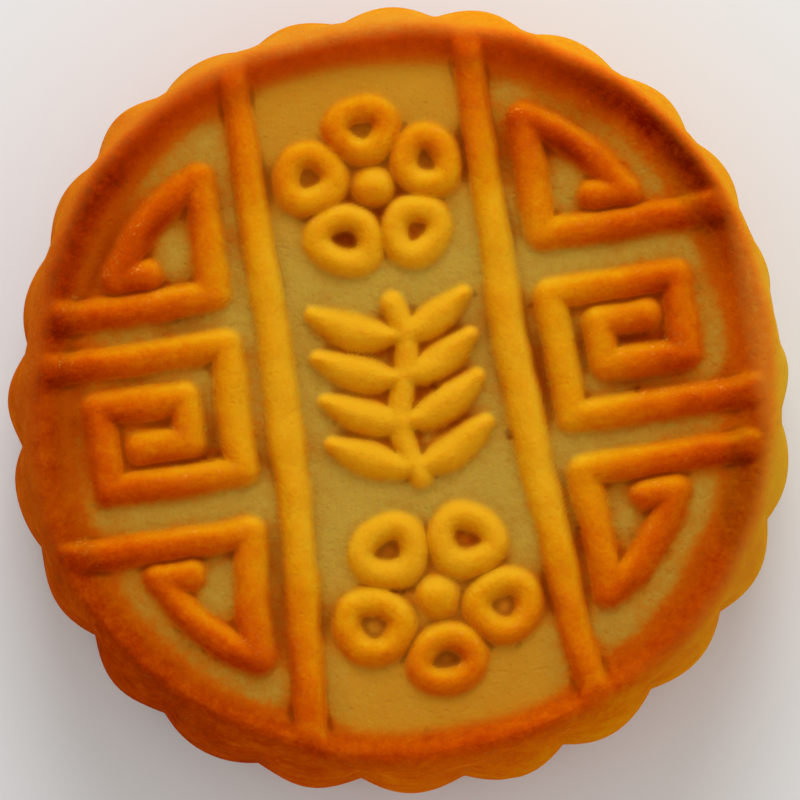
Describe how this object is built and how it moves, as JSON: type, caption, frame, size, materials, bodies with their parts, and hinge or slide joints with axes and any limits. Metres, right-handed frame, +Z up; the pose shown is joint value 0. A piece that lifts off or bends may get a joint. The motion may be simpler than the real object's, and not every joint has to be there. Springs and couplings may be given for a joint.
{
  "type": "mooncake",
  "caption": "Round baked mooncake with fluted sides, a raised rim and a sunken top pressed with bars, square frets, blossoms and a leafy sprig.",
  "frame": {"origin": "middle of the flat base, on the surface the cake stands on", "axes": "+Z up through the cake's height; +Y along the two long bars of the relief; +X across them"},
  "size_m": [0.0781, 0.0781, 0.0315],
  "materials": {
    "baked_crust": "baked dough brushed with egg: soft sheen, golden ridges, orange-brown rim and side, paler sunken ground"
  },
  "bodies": {
    "root": {"mooncake": "baked_crust"}
  },
  "joints": []
}
